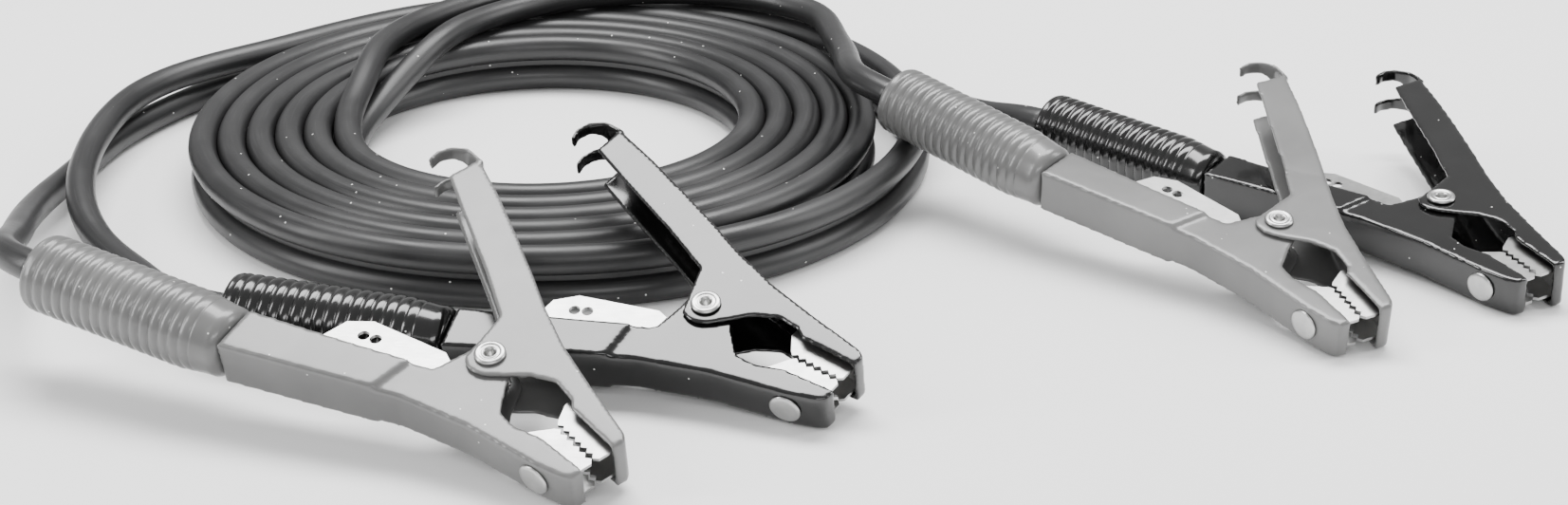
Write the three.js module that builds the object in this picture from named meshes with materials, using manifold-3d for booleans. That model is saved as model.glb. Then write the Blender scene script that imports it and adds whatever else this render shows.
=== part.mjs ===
// Car jumper cable: a coiled twin cable with a sprung clamp on each of its four ends.
// Millimetres, +Z up. The floor is z = 0 and the origin is the bottom centre of the box round the clamps.
import * as THREE from "three";
import { mergeVertices } from "three/addons/utils/BufferGeometryUtils.js";
import Module from "manifold-3d";

const wasm = await Module();
wasm.setup();

// Clearance between pieces that touch, and how far a cut reaches past the face that it opens
const FIT = 0.3;
const CUT = 2;

// Cable: two round conductors with a thin web, wound flat with one conductor above the other
const CONDUCTOR_DIAMETER = 11;
const CONDUCTOR_SPACING = 13;
const COIL_INNER_RADIUS = 71;
const COIL_TURNS = 6;
const TURN_PITCH = 11.1;
const COIL_CENTRE = [-109.9, 135.6];
const COIL_OUTER_RADIUS = COIL_INNER_RADIUS + COIL_TURNS * TURN_PITCH;
const COIL_HEIGHT = CONDUCTOR_DIAMETER + CONDUCTOR_SPACING;
const LEAD_STRAIGHT = 12;
const LEAD_STEP = 18;
const LEAD_SIDES = 10;

// Clamp arms: dipped steel channels, drawn from the side with the pivot at 0, 0 and the nose along +X
const WALL = 1.5;
const LOWER_HALF_WIDTH = 7.4;
const UPPER_HALF_WIDTH = LOWER_HALF_WIDTH + FIT + WALL;
const HANDLE_HALF_WIDTH = 8.6;
const NOSE_REACH = 57;
const NOSE_DEPTH = 6.6;
const JAW_EDGE = 5.6;
const EAR_RADIUS = 8.6;

// Pivot rivet and the rivet in the nose
const RIVET_RADIUS = 2.7;
const RIVET_HEAD_RADIUS = 5;
const RIVET_HEAD_THICKNESS = 1.2;
const RIVET_EDGE = 0.5;
const RIVET_BORE_RADIUS = 1.6;
const RIVET_BORE_DEPTH = 3;
const NOSE_RIVET_RADIUS = 2;
const NOSE_DISC_RADIUS = 5.4;
const NOSE_DISC_THICKNESS = 0.9;
const NOSE_RIVET_X = 44;

// Contacts: folded toothed strips in the two noses
const CONTACT_SHEET = 1.1;
const CONTACT_FRONT = NOSE_REACH - WALL - FIT - 0.2;
const CONTACT_HALF_WIDTH = LOWER_HALF_WIDTH - WALL - FIT;
const LOWER_CONTACT_REAR = 18;
const UPPER_CONTACT_REAR = 30;
const TOOTH_PITCH = 3.2;
const TOOTH_DEPTH = 1.3;

// Spring on the pivot
const WIRE_RADIUS = 1.1;
const SPRING_TURNS = 4;
const SPRING_PITCH = 2.25;
const SPRING_RADIUS = RIVET_RADIUS + WIRE_RADIUS + 0.9;

// Rear of the lower handle: the tongue, and the boot over it
const SHOULDER = [-66, -54.5];
const BOOT_SLOPE = THREE.MathUtils.degToRad(23);
const BOOT_LENGTH = 80;
const BOOT_RADIUS = 13.4;
const BOOT_NOSE_RADIUS = 11.6;
const BOOT_ROUND = 4;
const TONGUE_LENGTH = 26;
const TONGUE_HEIGHT = 12;
const TONGUE_HALF_WIDTH = 6.5;

// Terminal plate in the lower handle
const PLATE_SHEET = 1.2;
const PLATE_OFFSET = 3.6;

// Forked tip of the upper handle
const FORK_NOTCH_RADIUS = 4.2;

// Resting places: pivot point, then degrees of heading, rise of the rear and lean about the lower arm
const CLAMPS = {
  left_grey: { pivot: [-104.6, -98.4, 22.6], heading: -49.2, rise: 13.4, lean: 14, vinyl: 0xb9b9b7 },
  left_black: { pivot: [-38, -55, 19.75], heading: -36.6, rise: 9.4, lean: 19, vinyl: 0x141414 },
  right_grey: { pivot: [163, 11.5, 19.97], heading: -67.7, rise: 11.7, lean: 7, vinyl: 0xb9b9b7 },
  right_black: { pivot: [230.1, 45.4, 13.64], heading: -65.6, rise: 5, lean: 7, vinyl: 0x141414 },
};

// Routes of the four leads: the left two end against the coil, and the right two come off the top of it
const LEADS = {
  left_grey: [
    [-281.5, -22, 32.5], [-284.7, 1.9, 25], [-290.8, 30.2, 18.5], [-295, 62.1, 12], [-295.4, 88.3, 8],
    [-293.2, 109.6, 6], [-290.9, 125.6, 5.8], [-286.9, 146.6, 5.8], [-276.9, 171.6, 5.8],
    [-259.9, 200.6, 5.8], [-236.9, 224.6, 5.8], [-206.25, 241.3, 5.8],
  ],
  left_black: [
    [-228.6, -18.8, 14], [-239.8, -0.8, 12], [-260, 27.2, 10], [-270.8, 43.7, 13], [-279.7, 68.3, 16.5],
    [-283.9, 92.6, 17.8], [-285.9, 125.6, 18], [-282.9, 158.6, 18], [-273.9, 180.6, 18.2],
    [-257.9, 198.6, 18.4], [-235.9, 216.6, 18.5], [-209.65, 238.25, 18.5],
  ],
  right_grey: [
    [15.5, 128, 39.3], [13, 148, 37], [12.5, 170, 34], [9, 195, 31.5], [1.2, 235.6, 29.9],
    [-25.6, 256, 29.8], [-54.8, 265.4, 29.8], [-82.5, 264.7, 29.8],
  ],
  right_black: [
    [75.1, 161.6, 10], [57.1, 185.6, 6], [34.1, 210.6, 5.8], [9.9, 243.1, 5.8], [-6.4, 258.9, 6],
    [-29.2, 275.5, 9.5], [-52, 286.4, 16.5], [-74.4, 289.6, 23.5], [-94.2, 284.8, 28.5],
    [-114.8, 275.5, 29.8], [-128.4, 267.3, 29.8],
  ],
};

const vinyl = (colour) => new THREE.MeshStandardMaterial({ color: colour, roughness: 0.35, metalness: 0 });
const steel = () => new THREE.MeshStandardMaterial({ color: 0xc9ccce, roughness: 0.3, metalness: 1 });
const pvc = () => new THREE.MeshStandardMaterial({ color: 0x1b1b1c, roughness: 0.45, metalness: 0 });

function solid(geometry) {
  const bare = geometry.clone();
  bare.deleteAttribute("normal");
  bare.deleteAttribute("uv");
  const merged = mergeVertices(bare, 1e-4);
  return new wasm.Manifold(
    new wasm.Mesh({
      numProp: 3,
      vertProperties: new Float32Array(merged.attributes.position.array),
      triVerts: new Uint32Array(merged.index.array),
    }),
  );
}

function geometry(body) {
  const mesh = body.getMesh();
  const result = new THREE.BufferGeometry();
  result.setAttribute("position", new THREE.BufferAttribute(mesh.vertProperties, 3));
  result.setIndex(new THREE.BufferAttribute(mesh.triVerts, 1));
  result.computeVertexNormals();
  return result;
}

// A side outline given a width across the clamp, from z = low to z = high
function slab(outline, low, high) {
  const shape = new THREE.Shape(outline.map(([x, y]) => new THREE.Vector2(x, y)));
  const body = new THREE.ExtrudeGeometry(shape, { depth: high - low, bevelEnabled: false });
  body.translate(0, 0, low);
  return solid(body);
}

// A line of points moved sideways by a distance, to its left along its own direction
function offsetLine(points, distance) {
  return points.map((point, i) => {
    const before = points[Math.max(i - 1, 0)];
    const after = points[Math.min(i + 1, points.length - 1)];
    const a = new THREE.Vector2(point[0] - before[0], point[1] - before[1]).normalize();
    const b = new THREE.Vector2(after[0] - point[0], after[1] - point[1]).normalize();
    if (i === 0) a.copy(b);
    if (i === points.length - 1) b.copy(a);
    const mitre = new THREE.Vector2(-(a.y + b.y), a.x + b.x);
    const reach = (2 * distance) / mitre.lengthSq();
    return [point[0] + mitre.x * reach, point[1] + mitre.y * reach];
  });
}

// Height of a line of points at one x
function heightAt(points, x) {
  for (let i = 0; i + 1 < points.length; i += 1) {
    const [[x0, y0], [x1, y1]] = [points[i], points[i + 1]];
    if ((x - x0) * (x - x1) <= 0 && x0 !== x1) return y0 + ((y1 - y0) * (x - x0)) / (x1 - x0);
  }
  return points.at(-1)[1];
}

// A round bar across the clamp at x, y
function crossBar(x, y, radius, low, high, sides = 16) {
  const bar = new THREE.CylinderGeometry(radius, radius, high - low, sides);
  bar.rotateX(Math.PI / 2);
  bar.translate(x, y, (low + high) / 2);
  return solid(bar);
}

// An arc of points round a centre, in degrees
function arc(x, y, radius, from, to, steps) {
  return Array.from({ length: steps + 1 }, (_, i) => {
    const angle = THREE.MathUtils.degToRad(from + ((to - from) * i) / steps);
    return [x + radius * Math.cos(angle), y + radius * Math.sin(angle)];
  });
}

// Directions of the boot's axis, seen from the side
const bootAxis = new THREE.Vector2(-Math.cos(BOOT_SLOPE), -Math.sin(BOOT_SLOPE));
const bootUp = new THREE.Vector2(bootAxis.y, -bootAxis.x);
const alongBoot = (along, up) => [
  SHOULDER[0] + bootAxis.x * along + bootUp.x * up,
  SHOULDER[1] + bootAxis.y * along + bootUp.y * up,
];

// Outer lines of the lower arm, from the nose to the shoulder: its spine below and its edges above
const lowerSpine = [
  [NOSE_REACH, -JAW_EDGE],
  [NOSE_REACH, -JAW_EDGE - NOSE_DEPTH * 0.7],
  [NOSE_REACH - 3, -JAW_EDGE - NOSE_DEPTH],
  [NOSE_REACH - 12, -JAW_EDGE - NOSE_DEPTH - 3.2],
  [18, -22],
  [-6, -31],
  alongBoot(0, -9.2),
];
const lowerEdge = [
  alongBoot(0, 8.6),
  [-33, -28.5],
  [-9, -16],
  ...arc(0, 0, EAR_RADIUS, 200, 40, 6),
  [13, -3],
  [21, -10.6],
  [28, -10.6],
  [37.5, -JAW_EDGE - 1.4],
  [NOSE_REACH - 3, -JAW_EDGE],
];

// The same for the upper arm: spine above, edges below
const upperSpine = [
  [-80, 50.6],
  [-60, 44.9],
  [-40, 38.2],
  [-20, 31],
  [-6, 25.6],
  [12, 20],
  [32, 16],
  [NOSE_REACH - 3, JAW_EDGE + NOSE_DEPTH],
  [NOSE_REACH, JAW_EDGE + NOSE_DEPTH * 0.7],
  [NOSE_REACH, JAW_EDGE],
];
const upperEdge = [
  [35, JAW_EDGE],
  [32, 7.8],
  [23, 8.6],
  [15.5, 4.2],
  [10, -2],
  ...arc(0, 0, EAR_RADIUS, -45, -125, 3),
  [-12.5, 12],
  [-33, 20.4],
  [-64, 31.6],
  [-80, 37.6],
];

// A channel: the outline at full width, with its inside cut out past the open edge
function channel(spine, edge, halfWidth, inward, open) {
  const outer = slab([...spine, ...edge], -halfWidth, halfWidth);
  const inside = offsetLine(spine, inward);
  const first = [inside[0][0], inside[0][1] + open];
  const last = [inside.at(-1)[0], inside.at(-1)[1] + open];
  return outer.subtract(slab([...inside, last, first], WALL - halfWidth, halfWidth - WALL));
}

function boxAlongBoot(from, to, low, high, halfWidth) {
  const corners = [alongBoot(from, low), alongBoot(to, low), alongBoot(to, high), alongBoot(from, high)];
  return slab(corners, -halfWidth, halfWidth);
}

function noseRivetFrame() {
  const y = heightAt(lowerSpine, NOSE_RIVET_X);
  const slope = Math.atan2(heightAt(lowerSpine, NOSE_RIVET_X + 1) - y, 1);
  return { y, slope };
}

function noseRivetBody(radius, from, to) {
  const { y, slope } = noseRivetFrame();
  const shank = new THREE.CylinderGeometry(radius, radius, to - from, 16);
  shank.translate(0, (from + to) / 2, 0);
  shank.rotateZ(slope);
  shank.translate(NOSE_RIVET_X, y, 0);
  return solid(shank);
}

function lowerArm() {
  const front = channel(lowerSpine, lowerEdge, LOWER_HALF_WIDTH, -WALL, 60);
  const handleSpine = [[-14, heightAt(lowerSpine, -14)], lowerSpine.at(-1)];
  const handleEdge = [lowerEdge[0], [-33, -28.5], [-16, heightAt(lowerEdge, -16)]];
  const handle = slab([...handleSpine, ...handleEdge], -HANDLE_HALF_WIDTH, HANDLE_HALF_WIDTH);
  const inside = offsetLine(lowerSpine, -WALL);
  const reach = [alongBoot(-6, 40), [-6, 30]];
  const trough = slab(
    [[-4, heightAt(inside, -4)], [inside.at(-1)[0] + 6, heightAt(inside, inside.at(-1)[0] + 6)], ...reach],
    WALL - LOWER_HALF_WIDTH,
    LOWER_HALF_WIDTH - WALL,
  );
  const tongue = boxAlongBoot(-3, TONGUE_LENGTH, -TONGUE_HEIGHT / 2, TONGUE_HEIGHT / 2, TONGUE_HALF_WIDTH);
  return front
    .add(handle)
    .subtract(trough)
    .add(tongue)
    .subtract(crossBar(0, 0, RIVET_RADIUS + FIT, -HANDLE_HALF_WIDTH - CUT, HANDLE_HALF_WIDTH + CUT))
    .subtract(noseRivetBody(NOSE_RIVET_RADIUS + FIT, -CUT, WALL + CUT));
}

// The spine of the tip curls over past the ends of the walls, and a round notch forks it
function forkedTip() {
  const [x, y] = upperSpine[0];
  const outer = [
    [x + 2, y + 0.55],
    [x - 7, y + 0.6],
    [x - 12, y - 3.6],
    [x - 13.4, y - 9],
    [x - 12, y - 13.5],
  ];
  const inner = offsetLine(outer, WALL).reverse();
  const curl = slab([...outer, ...inner], -UPPER_HALF_WIDTH, UPPER_HALF_WIDTH);
  const notch = new THREE.CylinderGeometry(FORK_NOTCH_RADIUS, FORK_NOTCH_RADIUS, 40, 16);
  notch.scale(1.6, 1, 1);
  notch.translate(x - 13.5, y - 8, 0);
  return curl.subtract(solid(notch));
}

function upperArm() {
  return channel(upperSpine, upperEdge, UPPER_HALF_WIDTH, -WALL, -60)
    .add(forkedTip())
    .subtract(crossBar(0, 0, RIVET_RADIUS + FIT, -UPPER_HALF_WIDTH - CUT, UPPER_HALF_WIDTH + CUT));
}

// Turned about the pivot, with a blind bore in each end
function pivotRivet() {
  const face = UPPER_HALF_WIDTH + FIT;
  const end = face + RIVET_HEAD_THICKNESS;
  const half = [
    [RIVET_RADIUS, face],
    [RIVET_HEAD_RADIUS, face],
    [RIVET_HEAD_RADIUS, face + RIVET_EDGE],
    [RIVET_HEAD_RADIUS - RIVET_EDGE, end],
    [RIVET_BORE_RADIUS, end],
    [RIVET_BORE_RADIUS, end - RIVET_BORE_DEPTH],
    [0, end - RIVET_BORE_DEPTH],
  ];
  const otherHalf = half.map(([radius, z]) => [radius, -z]).reverse();
  const profile = [...otherHalf, ...half].map(([radius, z]) => new THREE.Vector2(radius, z));
  const body = new THREE.LatheGeometry(profile, 16);
  body.rotateX(Math.PI / 2);
  return solid(body);
}

// A row of teeth along x, from one x to another, pointing to +Y or -Y by the sign of depth
function teeth(from, to, base, depth) {
  const count = Math.max(1, Math.round(Math.abs(to - from) / TOOTH_PITCH));
  const step = (to - from) / count;
  return Array.from({ length: count }, (_, i) => [
    [from + step * i, base],
    [from + step * (i + 0.5), base + depth],
  ]).flat();
}

// Line of a contact's back, a little clear of the inside of its nose, from the front to the rear.
// side is 1 for the lower nose and -1 for the upper one, and lift moves the line further in.
function contactBack(spine, side, rear, lift) {
  const inside = offsetLine(spine, -WALL);
  const at = (x, extra) => heightAt(inside, x) + side * (FIT + lift + extra);
  const line = [[CONTACT_FRONT, at(CONTACT_FRONT - 1, 0.6)], [CONTACT_FRONT - 3, at(CONTACT_FRONT - 4, 0.3)]];
  if (rear < NOSE_REACH - 12) line.push([NOSE_REACH - 12, at(NOSE_REACH - 12, 0)]);
  return [...line, [rear, at(rear, 0)]];
}

// A contact: the toothed side outline with its inside cut out, so that it stays a folded strip
function contact(spine, side, rear, toothRow) {
  const outline = [...contactBack(spine, side, rear, 0), ...toothRow];
  const shell = slab(outline, -CONTACT_HALF_WIDTH, CONTACT_HALF_WIDTH);
  const inner = contactBack(spine, side, rear, CONTACT_SHEET);
  inner.unshift([CONTACT_FRONT + CUT, inner[0][1]]);
  inner.push([rear - CUT, inner.at(-1)[1]], [rear - CUT, side * CUT], [CONTACT_FRONT + CUT, side * CUT]);
  return shell.subtract(slab(inner, CONTACT_SHEET - CONTACT_HALF_WIDTH, CONTACT_HALF_WIDTH - CONTACT_SHEET));
}

function lowerContact() {
  const base = -FIT / 2 - TOOTH_DEPTH;
  const toothRow = [
    [LOWER_CONTACT_REAR, -12.4],
    [30, -11.6],
    ...teeth(36, CONTACT_FRONT, base, TOOTH_DEPTH),
    [CONTACT_FRONT, base],
  ];
  return contact(lowerSpine, 1, LOWER_CONTACT_REAR, toothRow).subtract(
    noseRivetBody(NOSE_RIVET_RADIUS + FIT, 0, WALL + 4),
  );
}

function upperContact() {
  const base = FIT / 2 + TOOTH_DEPTH;
  const toothRow = [
    [UPPER_CONTACT_REAR, 7],
    ...teeth(UPPER_CONTACT_REAR + 4, CONTACT_FRONT, base, -TOOTH_DEPTH),
    [CONTACT_FRONT, base],
  ];
  return contact(upperSpine, -1, UPPER_CONTACT_REAR, toothRow);
}

function noseRivet() {
  const grip = WALL + FIT + CONTACT_SHEET;
  const disc = noseRivetBody(NOSE_DISC_RADIUS, -FIT - NOSE_DISC_THICKNESS, -FIT);
  const shank = noseRivetBody(NOSE_RIVET_RADIUS, -FIT - NOSE_DISC_THICKNESS, grip + FIT + 0.8);
  const upset = noseRivetBody(NOSE_RIVET_RADIUS + 1.2, grip + FIT + 0.4, grip + FIT + 1.2);
  return disc.add(shank).add(upset);
}

// One wire: a leg along the lower handle, the coil on the pivot, and a leg under the upper spine
function springWire() {
  const points = [];
  const half = (SPRING_TURNS * SPRING_PITCH) / 2;
  points.push(new THREE.Vector3(-44, -44, -half));
  points.push(new THREE.Vector3(-28, -34, -half));
  points.push(new THREE.Vector3(-12, -15, -half));
  const perTurn = 8;
  const start = 185;
  const sweep = 360 * SPRING_TURNS - 60;
  const count = Math.round((sweep / 360) * perTurn);
  for (let i = 0; i <= count; i += 1) {
    const angle = THREE.MathUtils.degToRad(start + (sweep * i) / count);
    const z = -half + (2 * half * i) / count;
    points.push(new THREE.Vector3(SPRING_RADIUS * Math.cos(angle), SPRING_RADIUS * Math.sin(angle), z));
  }
  points.push(new THREE.Vector3(-12, 14, half));
  points.push(new THREE.Vector3(-26, 26, half));
  points.push(new THREE.Vector3(-52, 37.5, half));
  return new THREE.CatmullRomCurve3(points, false, "centripetal");
}

// A bar of round section along a curve
function barAlong(curve, radius, sides, steps) {
  const corners = arc(0, 0, radius, 0, 360 - 360 / sides, sides - 1);
  const section = new THREE.Shape(corners.map(([x, y]) => new THREE.Vector2(x, y)));
  return new THREE.ExtrudeGeometry(section, { steps, bevelEnabled: false, extrudePath: curve });
}

// A flat plate on edge in the lower handle, with an oval slot and a foot folded onto the spine
function terminalPlate() {
  const inside = offsetLine(lowerSpine, -WALL);
  const bottom = (x) => heightAt(inside, x) + FIT;
  const outline = [
    [-10, bottom(-10)],
    [-10, -9],
    [-14, -8],
    [-41, -17.5],
    [-47, -24],
    [-47, bottom(-47)],
  ];
  const plate = slab(outline, PLATE_OFFSET, PLATE_OFFSET + PLATE_SHEET);
  const foot = slab(
    [
      [-16, bottom(-16)],
      [-16, bottom(-16) + PLATE_SHEET],
      [-47, bottom(-47) + PLATE_SHEET],
      [-47, bottom(-47)],
    ],
    -1,
    PLATE_OFFSET + PLATE_SHEET,
  );
  const slot = crossBar(-34, -21.5, 2, 0, 10, 16).add(crossBar(-38, -23.5, 2, 0, 10, 16));
  return plate.add(foot).subtract(slot);
}

// Turned outline with a rounded shoulder and end; the pocket in its front takes the tongue
function boot() {
  const from = FIT;
  const to = BOOT_LENGTH;
  const round = (radius, at, sign) => [
    [radius - BOOT_ROUND, at],
    [radius - BOOT_ROUND * 0.3, at + sign * BOOT_ROUND * 0.3],
    [radius, at + sign * BOOT_ROUND],
  ];
  const profile = [[0, from], ...round(BOOT_NOSE_RADIUS, from, 1), [BOOT_RADIUS, from + 14]];
  profile.push(...round(BOOT_RADIUS, to, -1).reverse(), [0, to]);
  const body = new THREE.LatheGeometry(profile.map(([r, a]) => new THREE.Vector2(r, a)), 20);
  body.rotateZ(Math.atan2(bootAxis.y, bootAxis.x) - Math.PI / 2);
  body.translate(SHOULDER[0], SHOULDER[1], 0);
  const top = TONGUE_HEIGHT / 2 + FIT;
  return solid(body).subtract(boxAlongBoot(-CUT, TONGUE_LENGTH + FIT, -top, top, TONGUE_HALF_WIDTH + FIT));
}

const cable = new THREE.Group();
const clamps = {};

function piece(parent, name, body, material) {
  const mesh = new THREE.Mesh(body.isBufferGeometry ? body : geometry(body), material);
  mesh.name = name;
  parent.add(mesh);
}

const bodies = {
  pivot_rivet: pivotRivet(),
  lower_contact: lowerContact(),
  upper_contact: upperContact(),
  nose_rivet: noseRivet(),
  terminal_plate: terminalPlate(),
};
const dipped = { lower_arm: lowerArm(), upper_arm: upperArm(), boot: boot() };
const wire = barAlong(springWire(), WIRE_RADIUS, 6, 48);

for (const [side, place] of Object.entries(CLAMPS)) {
  const clamp = new THREE.Group();
  const turn = THREE.MathUtils.degToRad;
  clamp.position.set(...place.pivot);
  clamp.rotation.set(turn(place.lean), turn(place.rise), turn(place.heading), "ZYX");
  for (const [name, body] of Object.entries(dipped)) {
    piece(clamp, `${side}_${name}`, body, vinyl(place.vinyl));
  }
  for (const [name, body] of Object.entries(bodies)) {
    piece(clamp, `${side}_${name}`, body, steel());
  }
  piece(clamp, `${side}_spring`, wire.clone(), steel());
  cable.add(clamp);
  clamp.updateMatrixWorld();
  clamps[side] = clamp;
}

// The coil's outer shape: a ring with its edges rounded by the outermost conductors
function coilRing() {
  const edge = CONDUCTOR_DIAMETER * 0.15;
  const [inner, outer] = [COIL_INNER_RADIUS, COIL_OUTER_RADIUS];
  const profile = [
    [inner + edge, 0],
    [outer - edge, 0],
    [outer, edge],
    [outer, COIL_HEIGHT - edge],
    [outer - edge, COIL_HEIGHT],
    [inner + edge, COIL_HEIGHT],
    [inner, COIL_HEIGHT - edge],
    [inner, edge],
    [inner + edge, 0],
  ];
  const ring = new THREE.LatheGeometry(profile.map(([r, z]) => new THREE.Vector2(r, z)), 40);
  ring.rotateX(Math.PI / 2);
  ring.translate(COIL_CENTRE[0], COIL_CENTRE[1], 0);
  return ring;
}

piece(cable, "cable_coil", solid(coilRing()), pvc());

// Each lead leaves straight out of the end of its boot
for (const [side, route] of Object.entries(LEADS)) {
  const clamp = clamps[side];
  const along = [BOOT_LENGTH + FIT, BOOT_LENGTH + FIT + LEAD_STRAIGHT].map((reach) => {
    const [x, y] = alongBoot(reach, 0);
    return clamp.localToWorld(new THREE.Vector3(x, y, 0));
  });
  const points = [...along, ...route.map((point) => new THREE.Vector3(...point))];
  const curve = new THREE.CatmullRomCurve3(points, false, "centripetal");
  const steps = Math.round(curve.getLength() / LEAD_STEP);
  piece(cable, `${side}_lead`, barAlong(curve, CONDUCTOR_DIAMETER / 2, LEAD_SIDES, steps), pvc());
}

export default cable;
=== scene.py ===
import math

import bpy
import numpy as np
from mathutils import Matrix, Vector


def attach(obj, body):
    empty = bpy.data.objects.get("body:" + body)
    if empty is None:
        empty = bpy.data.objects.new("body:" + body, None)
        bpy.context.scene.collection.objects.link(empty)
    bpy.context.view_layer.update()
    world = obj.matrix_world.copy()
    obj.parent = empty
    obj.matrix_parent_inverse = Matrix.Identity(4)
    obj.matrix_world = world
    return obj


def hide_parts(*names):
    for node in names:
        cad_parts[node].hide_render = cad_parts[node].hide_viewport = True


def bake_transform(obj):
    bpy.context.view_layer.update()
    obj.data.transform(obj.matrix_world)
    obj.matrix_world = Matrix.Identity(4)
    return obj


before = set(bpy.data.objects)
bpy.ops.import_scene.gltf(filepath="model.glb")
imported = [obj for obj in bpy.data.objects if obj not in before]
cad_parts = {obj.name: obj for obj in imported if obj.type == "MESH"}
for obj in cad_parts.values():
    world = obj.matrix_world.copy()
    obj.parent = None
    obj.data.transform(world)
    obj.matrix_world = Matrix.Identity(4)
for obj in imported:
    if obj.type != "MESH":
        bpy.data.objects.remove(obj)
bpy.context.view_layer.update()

ROOT = "cable_and_lower_arms"


# Camera
# Stands in front of the clamps, a little above them, and looks down at the photograph's angle.
CAMERA_PLACE = (-0.0129, -0.7894, 0.376)
CAMERA_DOWN_DEG = 24.23
CAMERA_LENS_MM = 56.36

camera = bpy.data.objects.new("camera", bpy.data.cameras.new("camera"))
camera.location = CAMERA_PLACE
camera.rotation_euler = (math.radians(90 - CAMERA_DOWN_DEG), 0, 0)
camera.data.lens = CAMERA_LENS_MM
camera.data.sensor_width = 36
camera.data.clip_start = 0.01
camera.data.clip_end = 50
bpy.context.scene.collection.objects.link(camera)
bpy.context.scene.camera = camera


# The two conductors of the cable
# Stranded copper in a thick black PVC jacket, made side by side with a thin web between them and
# wound flat, one above the other. Each one runs from a left clamp to the right clamp of its colour.
CONDUCTOR_DIAMETER = 0.011
CONDUCTOR_SIDES = 20
COIL_CENTRE = (-0.1099, 0.1356)
UPPER_LAYER = 0.0185
LOWER_LAYER = 0.0056
TURN_PITCH = 0.0111
COIL_START_DEG = 134
LOOSE_TURN = [
    (0, 0.1452), (44, 0.1458), (89, 0.1485), (134, 0.151),
    (179, 0.1450), (224, 0.1374), (269, 0.1358), (314, 0.1345),
]
COIL_SWEEP_DEG = 2099
COIL_STEP_DEG = 15

LEFT_BLACK_LEAD = [
    (-0.2286, -0.0188, 0.014), (-0.2398, -0.0008, 0.012), (-0.26, 0.0272, 0.010), (-0.2708, 0.0437, 0.013),
    (-0.2797, 0.0683, 0.0165), (-0.2839, 0.0926, 0.0178), (-0.2859, 0.1256, 0.018), (-0.2829, 0.1586, 0.018),
    (-0.2739, 0.1806, 0.0182), (-0.2579, 0.1986, 0.0184), (-0.2359, 0.2166, 0.0185),
]
LEFT_GREY_LEAD = [
    (-0.2815, -0.022, 0.0325), (-0.2847, 0.0019, 0.025), (-0.2908, 0.0302, 0.0185), (-0.295, 0.0621, 0.012),
    (-0.2954, 0.0883, 0.008), (-0.2932, 0.1096, 0.006), (-0.2909, 0.1256, 0.0058), (-0.2869, 0.1466, 0.0058),
    (-0.2769, 0.1716, 0.0058), (-0.2599, 0.2006, 0.0058), (-0.2369, 0.2246, 0.0058),
]
BLACK_CROSSING = [
    (180, 0.079, 0.0193), (167, 0.0796, 0.0228), (158, 0.0816, 0.0268), (149, 0.0875, 0.0296),
    (137, 0.0975, 0.0298), (124, 0.1075, 0.0298), (112, 0.118, 0.0298), (101, 0.129, 0.0298),
    (92, 0.140, 0.0299), (84, 0.150, 0.0288), (77, 0.158, 0.0235), (69, 0.1615, 0.0165),
    (60, 0.1615, 0.0095), (50, 0.161, 0.006), (41.9, 0.161, 0.0058),
]
GREY_CROSSING = [
    (180, 0.0786, 0.0065), (165, 0.078, 0.010), (150, 0.0775, 0.0165), (136, 0.079, 0.0245),
    (124, 0.0855, 0.0296), (112, 0.097, 0.0298), (100, 0.109, 0.0298), (89, 0.121, 0.0298),
    (78, 0.132, 0.0298), (67, 0.141, 0.0298), (55, 0.147, 0.0298), (42, 0.1495, 0.0299),
]
RIGHT_BLACK_LEAD = [(0.0341, 0.2106, 0.0058), (0.0571, 0.1856, 0.006), (0.0751, 0.1616, 0.010)]
RIGHT_GREY_LEAD = [
    (0.009, 0.195, 0.0315), (0.0125, 0.170, 0.034), (0.013, 0.148, 0.037), (0.0155, 0.128, 0.0393),
]

CLAMP_PLACES = {
    "left_grey": dict(pivot=(-0.1046, -0.0984, 0.0226), heading=-49.2, rise=13.4, lean=14),
    "left_black": dict(pivot=(-0.038, -0.055, 0.01975), heading=-36.6, rise=9.4, lean=19),
    "right_grey": dict(pivot=(0.163, 0.0115, 0.01997), heading=-67.7, rise=11.7, lean=7),
    "right_black": dict(pivot=(0.2301, 0.0454, 0.01364), heading=-65.6, rise=5, lean=7),
}
BOOT_SHOULDER = (-0.066, -0.0545)
BOOT_SLOPE_DEG = 23
BOOT_LENGTH = 0.080
LEAD_STRAIGHT = 0.012
BOOT_GAP = 0.0003
FINE_STEP = 0.002
RELAX_PASSES = 45


def clamp_matrix(side):
    place = CLAMP_PLACES[side]
    turn = (
        Matrix.Rotation(math.radians(place["heading"]), 4, "Z")
        @ Matrix.Rotation(math.radians(place["rise"]), 4, "Y")
        @ Matrix.Rotation(math.radians(place["lean"]), 4, "X")
    )
    return Matrix.Translation(place["pivot"]) @ turn


def boot_matrix(side):
    """Frame of a boot: its axis along +Z from the shoulder to the rear, its top edge along +Y."""
    slope = math.radians(BOOT_SLOPE_DEG)
    along = Vector((-math.cos(slope), -math.sin(slope), 0))
    up = Vector((-math.sin(slope), math.cos(slope), 0))
    across = up.cross(along)
    local = Matrix((across, up, along)).transposed().to_4x4()
    return clamp_matrix(side) @ Matrix.Translation((*BOOT_SHOULDER, 0)) @ local


def behind_boot(side):
    matrix = boot_matrix(side)
    return [tuple(matrix @ Vector((0, 0, BOOT_LENGTH + reach))) for reach in (BOOT_GAP, LEAD_STRAIGHT)]


def coil_point(angle_deg, radius, height):
    angle = math.radians(angle_deg)
    return (COIL_CENTRE[0] + radius * math.cos(angle), COIL_CENTRE[1] + radius * math.sin(angle), height)


def coil_radius(swept):
    last_angle, last_radius = LOOSE_TURN[-1]
    if swept >= last_angle:
        return last_radius - TURN_PITCH * (swept - last_angle) / 360
    angles, radii = zip(*LOOSE_TURN)
    return float(np.interp(swept, angles, radii))


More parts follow.
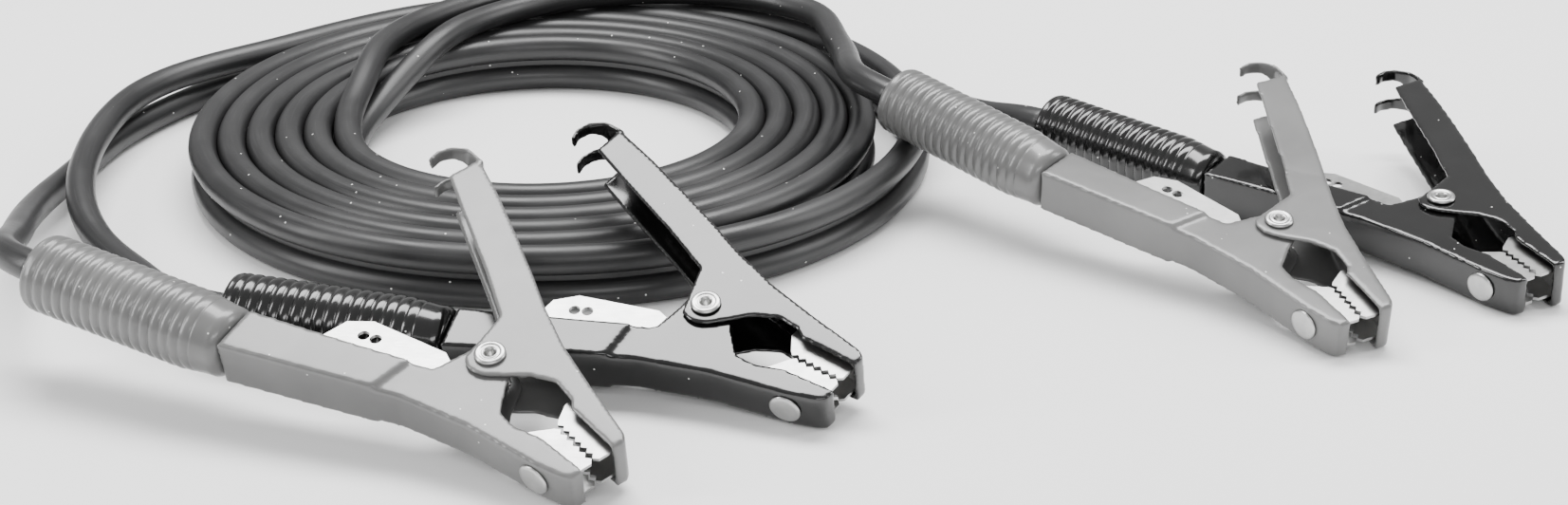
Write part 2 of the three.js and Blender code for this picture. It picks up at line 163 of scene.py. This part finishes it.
def coil_layer(height):
    return [
        coil_point(COIL_START_DEG - swept, coil_radius(swept), height)
        for swept in np.arange(0, COIL_SWEEP_DEG + 0.1, COIL_STEP_DEG)
    ]


def smooth_path(points, step):
    """A curve through the points, relaxed a little as a stiff cable is, with points a step apart."""
    given = np.array([2 * np.array(points[0]) - points[1], *points, 2 * np.array(points[-1]) - points[-2]])
    fine = []
    for p0, p1, p2, p3 in zip(given[:-3], given[1:-2], given[2:-1], given[3:]):
        t1 = np.linalg.norm(p1 - p0) ** 0.5
        t2 = t1 + np.linalg.norm(p2 - p1) ** 0.5
        t3 = t2 + np.linalg.norm(p3 - p2) ** 0.5
        for t in np.linspace(t1, t2, max(2, int(np.linalg.norm(p2 - p1) / FINE_STEP)), endpoint=False):
            a1 = (t1 - t) / t1 * p0 + t / t1 * p1
            a2 = ((t2 - t) * p1 + (t - t1) * p2) / (t2 - t1)
            a3 = ((t3 - t) * p2 + (t - t2) * p3) / (t3 - t2)
            b1 = (t2 - t) / t2 * a1 + t / t2 * a2
            b2 = ((t3 - t) * a2 + (t - t1) * a3) / (t3 - t1)
            fine.append(((t2 - t) * b1 + (t - t1) * b2) / (t2 - t1))
    fine.append(given[-2])
    fine = np.array(fine)
    for _ in range(RELAX_PASSES):
        fine[2:-2] = fine[2:-2] * 0.5 + (fine[1:-3] + fine[3:-1]) * 0.25
    lengths = np.concatenate([[0], np.cumsum(np.linalg.norm(np.diff(fine, axis=0), axis=1))])
    where = np.linspace(0, lengths[-1], int(lengths[-1] / step) + 1)
    return np.column_stack([np.interp(where, lengths, fine[:, k]) for k in range(3)]), lengths[-1]


def path_frames(path):
    """Tangent and two steady side directions at each point of a path."""
    tangents = np.gradient(path, axis=0)
    tangents /= np.linalg.norm(tangents, axis=1)[:, None]
    side = np.cross(tangents[0], (0, 0, 1))
    side /= np.linalg.norm(side)
    sides = [side]
    for tangent in tangents[1:]:
        side = sides[-1] - tangent * np.dot(sides[-1], tangent)
        sides.append(side / np.linalg.norm(side))
    sides = np.array(sides)
    return tangents, sides, np.cross(tangents, sides)


def new_mesh_piece(name, vertices, faces, smooth=True):
    mesh = bpy.data.meshes.new(name)
    mesh.from_pydata([tuple(v) for v in vertices], [], faces)
    mesh.update()
    mesh.polygons.foreach_set("use_smooth", [smooth] * len(mesh.polygons))
    piece = bpy.data.objects.new(name, mesh)
    bpy.context.scene.collection.objects.link(piece)
    return piece


def ring_faces(rings, sides):
    faces = []
    for i in range(rings - 1):
        for k in range(sides):
            after = (k + 1) % sides
            faces.append((i * sides + k, i * sides + after, (i + 1) * sides + after, (i + 1) * sides + k))
    return faces


def jacket_tube(name, path, radius, sides):
    tangents, across, up = path_frames(path)
    angles = np.linspace(0, 2 * math.pi, sides, endpoint=False)
    rings = (
        path[:, None, :]
        + radius * np.cos(angles)[None, :, None] * across[:, None, :]
        + radius * np.sin(angles)[None, :, None] * up[:, None, :]
    )
    faces = ring_faces(len(path), sides)
    faces.append(tuple(reversed(range(sides))))
    faces.append(tuple((len(path) - 1) * sides + k for k in range(sides)))
    piece = new_mesh_piece(name, rings.reshape(-1, 3), faces)
    lengths = np.concatenate([[0], np.cumsum(np.linalg.norm(np.diff(path, axis=0), axis=1))])
    layer = piece.data.uv_layers.new(name="along_jacket")
    for polygon in piece.data.polygons:
        if len(polygon.vertices) != 4:
            continue
        around = [piece.data.loops[i].vertex_index % sides for i in polygon.loop_indices]
        wrapped = max(around) - min(around) > sides / 2
        for loop_index, k in zip(polygon.loop_indices, around):
            ring = piece.data.loops[loop_index].vertex_index // sides
            turn = (k + sides if wrapped and k == 0 else k) / sides
            layer.data[loop_index].uv = (turn, float(lengths[ring]))
    return piece


def dust_specks(nodes, links, given, size, rarity):
    """Mask of small specks inside a group: a share of the cells, each with a dot of the given size."""
    cells = nodes.new("ShaderNodeTexVoronoi")
    near = nodes.new("ShaderNodeMath")
    near.operation = "LESS_THAN"
    near.inputs[1].default_value = size
    chosen = nodes.new("ShaderNodeSeparateColor")
    some = nodes.new("ShaderNodeMath")
    some.operation = "GREATER_THAN"
    some.inputs[1].default_value = rarity
    both = nodes.new("ShaderNodeMath")
    both.operation = "MULTIPLY"
    links.new(given.outputs["Place"], cells.inputs["Vector"])
    links.new(given.outputs["Speck scale"], cells.inputs["Scale"])
    links.new(cells.outputs["Distance"], near.inputs[0])
    links.new(cells.outputs["Color"], chosen.inputs["Color"])
    links.new(chosen.outputs["Red"], some.inputs[0])
    links.new(near.outputs["Value"], both.inputs[0])
    links.new(some.outputs["Value"], both.inputs[1])
    return both.outputs["Value"]


def jacket_group():
    """Scuffs along the jacket, cloudy handling marks and specks of dust, as masks, and a fine height."""
    group = bpy.data.node_groups.new("jacket_wear", "ShaderNodeTree")
    face = group.interface
    face.new_socket("Along", in_out="INPUT", socket_type="NodeSocketVector")
    face.new_socket("Place", in_out="INPUT", socket_type="NodeSocketVector")
    for name, value in (("Streak scale", 34.0), ("Cloud scale", 22.0), ("Speck scale", 420.0)):
        socket = face.new_socket(name, in_out="INPUT", socket_type="NodeSocketFloat")
        socket.default_value = value
    for name in ("Streaks", "Clouds", "Specks", "Height"):
        face.new_socket(name, in_out="OUTPUT", socket_type="NodeSocketFloat")
    nodes, links = group.nodes, group.links
    given = nodes.new("NodeGroupInput")
    put = nodes.new("NodeGroupOutput")

    streak_map = nodes.new("ShaderNodeMapping")
    streak_map.inputs["Scale"].default_value = (1.3, 0.9, 1.0)
    streaks = nodes.new("ShaderNodeTexNoise")
    streaks.inputs["Detail"].default_value = 6
    streaks.inputs["Roughness"].default_value = 0.7
    streak_ramp = nodes.new("ShaderNodeValToRGB")
    streak_ramp.color_ramp.elements[0].position = 0.52
    streak_ramp.color_ramp.elements[1].position = 0.78
    links.new(given.outputs["Along"], streak_map.inputs["Vector"])
    links.new(streak_map.outputs["Vector"], streaks.inputs["Vector"])
    links.new(given.outputs["Streak scale"], streaks.inputs["Scale"])
    links.new(streaks.outputs["Fac"], streak_ramp.inputs["Fac"])
    links.new(streak_ramp.outputs["Color"], put.inputs["Streaks"])

    clouds = nodes.new("ShaderNodeTexNoise")
    clouds.inputs["Detail"].default_value = 5
    clouds.inputs["Distortion"].default_value = 0.6
    cloud_ramp = nodes.new("ShaderNodeValToRGB")
    cloud_ramp.color_ramp.elements[0].position = 0.42
    cloud_ramp.color_ramp.elements[1].position = 0.72
    links.new(given.outputs["Place"], clouds.inputs["Vector"])
    links.new(given.outputs["Cloud scale"], clouds.inputs["Scale"])
    links.new(clouds.outputs["Fac"], cloud_ramp.inputs["Fac"])
    links.new(cloud_ramp.outputs["Color"], put.inputs["Clouds"])

    specks = dust_specks(nodes, links, given, 0.16, 0.975)
    links.new(specks, put.inputs["Specks"])

    grain = nodes.new("ShaderNodeTexNoise")
    grain.inputs["Scale"].default_value = 900
    grain.inputs["Detail"].default_value = 3
    links.new(given.outputs["Place"], grain.inputs["Vector"])
    links.new(grain.outputs["Fac"], put.inputs["Height"])
    return group


JACKET_WEAR = jacket_group()


def mix_colour(nodes, links, mask, low, high):
    """A colour between two given ones by a mask; low may be a socket."""
    mix = nodes.new("ShaderNodeMix")
    mix.data_type = "RGBA"
    links.new(mask, mix.inputs["Factor"])
    for socket, value in ((mix.inputs["A"], low), (mix.inputs["B"], high)):
        if isinstance(value, tuple):
            socket.default_value = (*value, 1)
        else:
            links.new(value, socket)
    return mix.outputs["Result"]


def scaled_mask(nodes, links, mask, gain, offset=0.0):
    """The mask times a gain plus an offset, kept from 0 to 1."""
    scale = nodes.new("ShaderNodeMath")
    scale.operation = "MULTIPLY_ADD"
    scale.use_clamp = True
    scale.inputs[1].default_value = gain
    scale.inputs[2].default_value = offset
    links.new(mask, scale.inputs[0])
    return scale.outputs["Value"]


def new_material(name):
    material = bpy.data.materials.new(name)
    material.use_nodes = True
    nodes, links = material.node_tree.nodes, material.node_tree.links
    return material, nodes, links, nodes["Principled BSDF"]


def jacket_material():
    """Satin black PVC: a soft sheen along the top, paler scuffs, handling marks and specks of dust."""
    material, nodes, links, shader = new_material("black_pvc_jacket")
    where = nodes.new("ShaderNodeTexCoord")
    wear = nodes.new("ShaderNodeGroup")
    wear.node_tree = JACKET_WEAR
    links.new(where.outputs["UV"], wear.inputs["Along"])
    links.new(where.outputs["Object"], wear.inputs["Place"])
    streaks = scaled_mask(nodes, links, wear.outputs["Streaks"], 0.55)
    clouds = scaled_mask(nodes, links, wear.outputs["Clouds"], 0.5)
    colour = mix_colour(nodes, links, clouds, (0.011, 0.011, 0.0115), (0.021, 0.021, 0.0215))
    colour = mix_colour(nodes, links, streaks, colour, (0.050, 0.050, 0.051))
    colour = mix_colour(nodes, links, wear.outputs["Specks"], colour, (0.62, 0.62, 0.6))
    links.new(colour, shader.inputs["Base Color"])
    rough = scaled_mask(nodes, links, wear.outputs["Clouds"], 0.14, 0.36)
    links.new(rough, shader.inputs["Roughness"])
    shader.inputs["IOR"].default_value = 1.5
    bump = nodes.new("ShaderNodeBump")
    bump.inputs["Strength"].default_value = 0.12
    bump.inputs["Distance"].default_value = 0.0002
    links.new(wear.outputs["Height"], bump.inputs["Height"])
    links.new(bump.outputs["Normal"], shader.inputs["Normal"])
    return material


JACKET = jacket_material()
CONDUCTOR_STEP = 0.005

CONDUCTORS = {
    "black": dict(
        start="left_black", end="right_black",
        middle=LEFT_BLACK_LEAD + coil_layer(UPPER_LAYER)
        + [coil_point(*point) for point in BLACK_CROSSING] + RIGHT_BLACK_LEAD,
        stands_for=("left_black_lead", "right_black_lead", "cable_coil"),
    ),
    "grey": dict(
        start="left_grey", end="right_grey",
        middle=LEFT_GREY_LEAD + coil_layer(LOWER_LAYER)
        + [coil_point(*point) for point in GREY_CROSSING] + RIGHT_GREY_LEAD,
        stands_for=("left_grey_lead", "right_grey_lead"),
    ),
}
conductor_paths = {}
for colour, conductor in CONDUCTORS.items():
    points = behind_boot(conductor["start"]) + conductor["middle"] + behind_boot(conductor["end"])[::-1]
    path, length = smooth_path(points, CONDUCTOR_STEP)
    conductor_paths[colour] = path
    tube = jacket_tube(f"{colour}_conductor", path, CONDUCTOR_DIAMETER / 2, CONDUCTOR_SIDES)
    tube.data.materials.append(JACKET)
    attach(tube, ROOT)
    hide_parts(*conductor["stands_for"])
    conductor["tube"], conductor["length"] = tube, length


# The web between the conductors
# A thin flap of the same PVC that joins the two jackets wherever they lie one above the other.
# It is split at both ends of the coil, where the leads part.
WEB_THICKNESS = 0.0022
WEB_OVERLAP = 0.0012
WEB_OUTER_RADIUS = 0.153
LEVEL_SLACK = 0.0003


def web_strip(name, upper):
    """A strip from the upper conductor down to the lower one, along the stretch where they are stacked."""
    from_centre = np.hypot(upper[:, 0] - COIL_CENTRE[0], upper[:, 1] - COIL_CENTRE[1])
    level = (np.abs(upper[:, 2] - UPPER_LAYER) < LEVEL_SLACK) & (from_centre < WEB_OUTER_RADIUS)
    first, last = np.flatnonzero(level)[0], np.flatnonzero(level)[-1]
    line = upper[first : last + 1]
    _, across, _ = path_frames(line)
    top = UPPER_LAYER - CONDUCTOR_DIAMETER / 2 + WEB_OVERLAP
    low = LOWER_LAYER + CONDUCTOR_DIAMETER / 2 - WEB_OVERLAP
    corners = [(-0.5, top), (0.5, top), (0.5, low), (-0.5, low)]
    vertices = []
    for point, side in zip(line, across):
        for shift, height in corners:
            aside = side * shift * WEB_THICKNESS
            vertices.append((point[0] + aside[0], point[1] + aside[1], height))
    faces = ring_faces(len(line), 4)
    faces.append((3, 2, 1, 0))
    faces.append(tuple(4 * (len(line) - 1) + k for k in range(4)))
    return new_mesh_piece(name, vertices, faces, smooth=False)


web = web_strip("cable_web", conductor_paths["black"])
web.data.materials.append(JACKET)
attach(web, ROOT)


# Arms of the four clamps
# Pressed steel channels dipped in thick soft vinyl, which rounds every edge and pools at the corners.
# The shell is taken from the CAD arm, grown over and smoothed as the dip does it.
ARM_VOXEL = 0.00062
ARM_SMOOTHING = 20
ARM_KEEP = 0.34


def dip_group():
    """The dipped skin: slow waves left by the dip, small pits and fine dust, over a piece."""
    group = bpy.data.node_groups.new("dipped_skin", "ShaderNodeTree")
    face = group.interface
    face.new_socket("Place", in_out="INPUT", socket_type="NodeSocketVector")
    for name, value in (("Wave scale", 55.0), ("Speck scale", 480.0)):
        socket = face.new_socket(name, in_out="INPUT", socket_type="NodeSocketFloat")
        socket.default_value = value
    for name in ("Waves", "Specks", "Tone", "Height"):
        face.new_socket(name, in_out="OUTPUT", socket_type="NodeSocketFloat")
    nodes, links = group.nodes, group.links
    given = nodes.new("NodeGroupInput")
    put = nodes.new("NodeGroupOutput")

    waves = nodes.new("ShaderNodeTexNoise")
    waves.inputs["Detail"].default_value = 2
    waves.inputs["Distortion"].default_value = 0.8
    links.new(given.outputs["Place"], waves.inputs["Vector"])
    links.new(given.outputs["Wave scale"], waves.inputs["Scale"])
    links.new(waves.outputs["Fac"], put.inputs["Waves"])

    tone = nodes.new("ShaderNodeTexNoise")
    tone.inputs["Scale"].default_value = 28
    tone.inputs["Detail"].default_value = 4
    tone_ramp = nodes.new("ShaderNodeValToRGB")
    tone_ramp.color_ramp.elements[0].position = 0.35
    tone_ramp.color_ramp.elements[1].position = 0.70
    links.new(given.outputs["Place"], tone.inputs["Vector"])
    links.new(tone.outputs["Fac"], tone_ramp.inputs["Fac"])
    links.new(tone_ramp.outputs["Color"], put.inputs["Tone"])

    specks = dust_specks(nodes, links, given, 0.15, 0.98)
    links.new(specks, put.inputs["Specks"])

    pits = nodes.new("ShaderNodeTexNoise")
    pits.inputs["Scale"].default_value = 700
    pits.inputs["Detail"].default_value = 2
    blend = nodes.new("ShaderNodeMath")
    blend.operation = "MULTIPLY_ADD"
    blend.inputs[1].default_value = 0.05
    links.new(given.outputs["Place"], pits.inputs["Vector"])
    links.new(pits.outputs["Fac"], blend.inputs[0])
    links.new(waves.outputs["Fac"], blend.inputs[2])
    links.new(blend.outputs["Value"], put.inputs["Height"])
    return group


DIPPED_SKIN = dip_group()


def vinyl_material(name, deep, pale, roughness, roughness_spread, coat):
    material, nodes, links, shader = new_material(name)
    where = nodes.new("ShaderNodeTexCoord")
    skin = nodes.new("ShaderNodeGroup")
    skin.node_tree = DIPPED_SKIN
    links.new(where.outputs["Object"], skin.inputs["Place"])
    colour = mix_colour(nodes, links, skin.outputs["Tone"], deep, pale)
    colour = mix_colour(nodes, links, skin.outputs["Specks"], colour, (0.7, 0.7, 0.68))
    links.new(colour, shader.inputs["Base Color"])
    rough = scaled_mask(nodes, links, skin.outputs["Waves"], roughness_spread, roughness)
    links.new(rough, shader.inputs["Roughness"])
    shader.inputs["Coat Weight"].default_value = coat
    shader.inputs["Coat Roughness"].default_value = 0.12
    bump = nodes.new("ShaderNodeBump")
    bump.inputs["Strength"].default_value = 0.22
    bump.inputs["Distance"].default_value = 0.0006
    links.new(skin.outputs["Height"], bump.inputs["Height"])
    links.new(bump.outputs["Normal"], shader.inputs["Normal"])
    return material


GREY_VINYL = vinyl_material("light_grey_vinyl", (0.105, 0.105, 0.104), (0.140, 0.140, 0.138), 0.26, 0.10, 0.3)
BLACK_VINYL = vinyl_material("black_vinyl", (0.0035, 0.0035, 0.0035), (0.007, 0.007, 0.007), 0.12, 0.10, 0.4)


def vinyl_of(side):
    return GREY_VINYL if side.endswith("grey") else BLACK_VINYL


def made_solid(piece):
    """The piece's mesh with its modifiers applied."""
    bpy.context.view_layer.update()
    done = bpy.data.meshes.new_from_object(piece.evaluated_get(bpy.context.evaluated_depsgraph_get()))
    piece.modifiers.clear()
    piece.data = done
    return piece


def dipped_arm(node, name, side, body):
    piece = bpy.data.objects.new(name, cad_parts[node].data.copy())
    piece.data.materials.clear()
    bpy.context.scene.collection.objects.link(piece)
    grow = piece.modifiers.new("grow", "REMESH")
    grow.mode = "VOXEL"
    grow.voxel_size = ARM_VOXEL
    grow.use_smooth_shade = True
    soften = piece.modifiers.new("soften", "SMOOTH")
    soften.factor = 0.5
    soften.iterations = ARM_SMOOTHING
    fewer = piece.modifiers.new("fewer", "DECIMATE")
    fewer.ratio = ARM_KEEP
    made_solid(piece)
    piece.data.polygons.foreach_set("use_smooth", [True] * len(piece.data.polygons))
    piece.data.materials.append(vinyl_of(side))
    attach(piece, body)
    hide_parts(node)
    return piece


for side in CLAMP_PLACES:
    dipped_arm(f"{side}_lower_arm", f"{side}_lower_handle", side, ROOT)
    dipped_arm(f"{side}_upper_arm", f"{side}_upper_handle", side, f"{side}_jaw")


# Boots
# A soft vinyl sleeve with moulded rings, pushed over the rear of the lower handle. The front is a
# smooth collar, the rings follow, and the rim at the rear turns in round the conductor.
BOOT_RADIUS = 0.0134
BOOT_COLLAR_RADIUS = 0.0118
BOOT_COLLAR_LENGTH = 0.010
BOOT_RING_PITCH = 0.0040
BOOT_RING_DEPTH = 0.00105
BOOT_SIDES = 72
BOOT_REAR_HOLE = 0.0061
BOOT_STEP = 0.00036
BOOT_SWELL_LENGTH = 0.016
BOOT_RINGS_REACH_FULL = 0.020


def boot_outline():
    """Pairs of radius and distance from the shoulder, along the outside and into the rear hole."""
    outline = [(0.0074, 0.0003), (0.0096, 0.0005), (0.0108, 0.0012), (BOOT_COLLAR_RADIUS, 0.0030)]
    rings_end = BOOT_LENGTH - 0.004
    for at in np.arange(0.0044, rings_end, BOOT_STEP):
        grown = min(1.0, (at - 0.003) / BOOT_SWELL_LENGTH)
        base = BOOT_COLLAR_RADIUS + (BOOT_RADIUS - BOOT_COLLAR_RADIUS) * (grown * grown * (3 - 2 * grown))
        ring = 0.0
        if at > BOOT_COLLAR_LENGTH:
            phase = ((at - BOOT_COLLAR_LENGTH) / BOOT_RING_PITCH) % 1.0
            swell = math.sin(math.pi * phase) ** 0.6
            start = min(1.0, (at - BOOT_COLLAR_LENGTH) / BOOT_RINGS_REACH_FULL)
            ring = BOOT_RING_DEPTH * (1 - swell) * (0.45 + 0.55 * start)
        outline.append((base - ring, at))
    outline += [
        (BOOT_RADIUS - 0.0006, BOOT_LENGTH - 0.0034), (BOOT_RADIUS - 0.0002, BOOT_LENGTH - 0.0024),
        (BOOT_RADIUS - 0.0006, BOOT_LENGTH - 0.0012), (BOOT_RADIUS - 0.0020, BOOT_LENGTH - 0.0003),
        (BOOT_RADIUS - 0.0036, BOOT_LENGTH), (BOOT_REAR_HOLE + 0.0008, BOOT_LENGTH - 0.0002),
        (BOOT_REAR_HOLE, BOOT_LENGTH - 0.0010), (BOOT_REAR_HOLE, BOOT_LENGTH - 0.0050),
        (0.0002, BOOT_LENGTH - 0.0052),
    ]
    return outline


def turned(name, outline, sides, matrix, oval=0.0):
    """A body turned about the +Z of a frame from pairs of radius and height, closed on the axis."""
    vertices = []
    for radius, height in outline:
        for k in range(sides):
            angle = 2 * math.pi * k / sides
            wide = radius * (1 + oval * math.cos(2 * angle))
            vertices.append(matrix @ Vector((wide * math.cos(angle), wide * math.sin(angle), height)))
    faces = ring_faces(len(outline), sides)
    faces.append(tuple(reversed(range(sides))))
    faces.append(tuple((len(outline) - 1) * sides + k for k in range(sides)))
    return new_mesh_piece(name, vertices, faces)


for side in CLAMP_PLACES:
    sleeve = turned(f"{side}_ribbed_boot", boot_outline(), BOOT_SIDES, boot_matrix(side), oval=-0.015)
    sleeve.data.materials.append(vinyl_of(side))
    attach(sleeve, ROOT)
    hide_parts(f"{side}_boot")


# Bright steel pieces of each clamp
# Zinc-plated steel: a tubular rivet rolled over at both ends is the pivot, a flat-headed rivet holds
# the lower contact, toothed strips line the two noses, and a folded plate grips the conductor.
RIVET_FACE = 0.0095
RIVET_SIDES = 48
NOSE_RIVET_X = 0.044
NOSE_RIVET_Y = -0.015245
NOSE_RIVET_SLOPE_DEG = 14.9
NOSE_DISC_RADIUS = 0.0054
NOSE_DISC_SINK = 0.0012
EDGE_WIDTH = 0.00018
EDGE_ANGLE_DEG = 32


def plate_group():
    """Zinc plate: a fine drawn grain and cloudy patches."""
    group = bpy.data.node_groups.new("zinc_plate", "ShaderNodeTree")
    face = group.interface
    face.new_socket("Place", in_out="INPUT", socket_type="NodeSocketVector")
    socket = face.new_socket("Grain scale", in_out="INPUT", socket_type="NodeSocketFloat")
    socket.default_value = 260.0
    for name in ("Grain", "Patches"):
        face.new_socket(name, in_out="OUTPUT", socket_type="NodeSocketFloat")
    nodes, links = group.nodes, group.links
    given = nodes.new("NodeGroupInput")
    put = nodes.new("NodeGroupOutput")
    stretch = nodes.new("ShaderNodeMapping")
    stretch.inputs["Scale"].default_value = (1.0, 6.0, 6.0)
    grain = nodes.new("ShaderNodeTexNoise")
    grain.inputs["Detail"].default_value = 5
    patches = nodes.new("ShaderNodeTexNoise")
    patches.inputs["Scale"].default_value = 160
    patches.inputs["Detail"].default_value = 3
    links.new(given.outputs["Place"], stretch.inputs["Vector"])
    links.new(stretch.outputs["Vector"], grain.inputs["Vector"])
    links.new(given.outputs["Grain scale"], grain.inputs["Scale"])
    links.new(grain.outputs["Fac"], put.inputs["Grain"])
    links.new(given.outputs["Place"], patches.inputs["Vector"])
    links.new(patches.outputs["Fac"], put.inputs["Patches"])
    return group


ZINC_PLATE = plate_group()


def steel_material(name, dark, bright, roughness):
    material, nodes, links, shader = new_material(name)
    where = nodes.new("ShaderNodeTexCoord")
    plate = nodes.new("ShaderNodeGroup")
    plate.node_tree = ZINC_PLATE
    links.new(where.outputs["Object"], plate.inputs["Place"])
    colour = mix_colour(nodes, links, plate.outputs["Patches"], dark, bright)
    links.new(colour, shader.inputs["Base Color"])
    rough = scaled_mask(nodes, links, plate.outputs["Grain"], 0.18, roughness)
    links.new(rough, shader.inputs["Roughness"])
    shader.inputs["Metallic"].default_value = 1.0
    bump = nodes.new("ShaderNodeBump")
    bump.inputs["Strength"].default_value = 0.15
    bump.inputs["Distance"].default_value = 0.0001
    links.new(plate.outputs["Grain"], bump.inputs["Height"])
    links.new(bump.outputs["Normal"], shader.inputs["Normal"])
    return material


BRIGHT_STEEL = steel_material("bright_zinc_steel", (0.34, 0.34, 0.34), (0.60, 0.60, 0.59), 0.22)
CONTACT_STEEL = steel_material("contact_strip_steel", (0.32, 0.32, 0.32), (0.58, 0.58, 0.57), 0.24)


def rolled_rivet_outline():
    half = [
        (0.0027, 0.0), (0.0027, RIVET_FACE), (0.0046, RIVET_FACE), (0.0050, RIVET_FACE + 0.0002),
        (0.0051, RIVET_FACE + 0.0005), (0.0049, RIVET_FACE + 0.0009), (0.0044, RIVET_FACE + 0.0012),
        (0.0037, RIVET_FACE + 0.0012), (0.0033, RIVET_FACE + 0.0010), (0.0029, RIVET_FACE + 0.0009),
        (0.0026, RIVET_FACE + 0.0011), (0.0022, RIVET_FACE + 0.0011), (0.0018, RIVET_FACE + 0.0006),
        (0.0016, RIVET_FACE - 0.0002), (0.0016, RIVET_FACE - 0.0026), (0.0001, RIVET_FACE - 0.0028),
    ]
    return [(radius, -height) for radius, height in reversed(half[1:])] + half[1:]


def nose_rivet_outline():
    return [
        (0.0001, -0.0001), (0.0040, -0.0001), (0.0050, 0.0), (NOSE_DISC_RADIUS, 0.0003),
        (NOSE_DISC_RADIUS, 0.0007), (0.0050, 0.0009), (0.0020, 0.0009), (0.0020, 0.0040),
        (0.0032, 0.0041), (0.0032, 0.0047), (0.0028, 0.0050), (0.0001, 0.0050),
    ]


for side in CLAMP_PLACES:
    rivet = turned(f"{side}_rolled_rivet", rolled_rivet_outline(), RIVET_SIDES, clamp_matrix(side))
    rivet.data.materials.append(BRIGHT_STEEL)
    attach(rivet, ROOT)
    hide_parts(f"{side}_pivot_rivet")

    slope = math.radians(NOSE_RIVET_SLOPE_DEG)
    outward = Matrix.Rotation(slope, 4, "Z") @ Matrix.Rotation(math.radians(-90), 4, "X")
    seat = clamp_matrix(side) @ Matrix.Translation((NOSE_RIVET_X, NOSE_RIVET_Y, 0)) @ outward
    seat = seat @ Matrix.Translation((0, 0, -NOSE_DISC_SINK))
    nose_rivet = turned(f"{side}_flat_rivet", nose_rivet_outline(), RIVET_SIDES, seat)
    nose_rivet.data.materials.append(BRIGHT_STEEL)
    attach(nose_rivet, ROOT)
    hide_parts(f"{side}_nose_rivet")

    for part, material in (
        ("lower_contact", CONTACT_STEEL),
        ("upper_contact", CONTACT_STEEL),
        ("terminal_plate", BRIGHT_STEEL),
    ):
        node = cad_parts[f"{side}_{part}"]
        node.data.materials.clear()
        node.data.materials.append(material)
        edge = node.modifiers.new("broken_edge", "BEVEL")
        edge.width = EDGE_WIDTH
        edge.segments = 2
        edge.limit_method = "ANGLE"
        edge.angle_limit = math.radians(EDGE_ANGLE_DEG)


for side in CLAMP_PLACES:
    wire = bpy.data.objects.new(f"{side}_spring_wire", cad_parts[f"{side}_spring"].data.copy())
    bpy.context.scene.collection.objects.link(wire)
    rounded = wire.modifiers.new("rounded", "SUBSURF")
    rounded.levels = rounded.render_levels = 1
    made_solid(wire)
    wire.data.materials.clear()
    wire.data.materials.append(BRIGHT_STEEL)
    wire.data.polygons.foreach_set("use_smooth", [True] * len(wire.data.polygons))
    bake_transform(wire)
    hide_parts(f"{side}_spring")


# Floor and light
# A plain pale floor under plain soft studio light: a wide box above, one at each side and a fill
# from the front, so that every rounded edge carries a soft highlight.
FLOOR_CORNERS = [(-6, -6, 0), (6, -6, 0), (6, 10, 0), (-6, 10, 0)]

floor_sheet = new_mesh_piece("floor_sheet", FLOOR_CORNERS, [(0, 1, 2, 3)], smooth=False)
floor_material, nodes, links, shader = new_material("pale_floor")
where = nodes.new("ShaderNodeTexCoord")
paper = nodes.new("ShaderNodeTexNoise")
paper.inputs["Scale"].default_value = 3
links.new(where.outputs["Object"], paper.inputs["Vector"])
tint = mix_colour(nodes, links, paper.outputs["Fac"], (0.90, 0.90, 0.90), (0.93, 0.93, 0.93))
links.new(tint, shader.inputs["Base Color"])
shader.inputs["Roughness"].default_value = 0.6
floor_sheet.data.materials.append(floor_material)

world = bpy.data.worlds.new("studio_air")
world.use_nodes = True
world.node_tree.nodes["Background"].inputs["Color"].default_value = (1, 1, 1, 1)
world.node_tree.nodes["Background"].inputs["Strength"].default_value = 0.55
bpy.context.scene.world = world


def soft_box(name, place, towards, size, power):
    light = bpy.data.lights.new(name, "AREA")
    light.shape = "RECTANGLE"
    light.size, light.size_y = size
    light.energy = power
    lamp = bpy.data.objects.new(name, light)
    lamp.location = place
    lamp.rotation_euler = (Vector(towards) - Vector(place)).to_track_quat("-Z", "Y").to_euler()
    bpy.context.scene.collection.objects.link(lamp)
    return lamp


soft_box("box_above", (0.0, 0.5, 1.3), (-0.02, 0.05, 0), (1.4, 0.6), 44)
soft_box("box_left", (-1.3, -0.3, 0.7), (-0.05, 0.05, 0), (0.35, 1.0), 13)
soft_box("box_right", (1.3, 0.1, 0.7), (0.05, 0.05, 0), (0.35, 1.0), 11)
soft_box("box_front", (0.1, -1.5, 0.9), (0, 0, 0), (1.2, 0.3), 9)
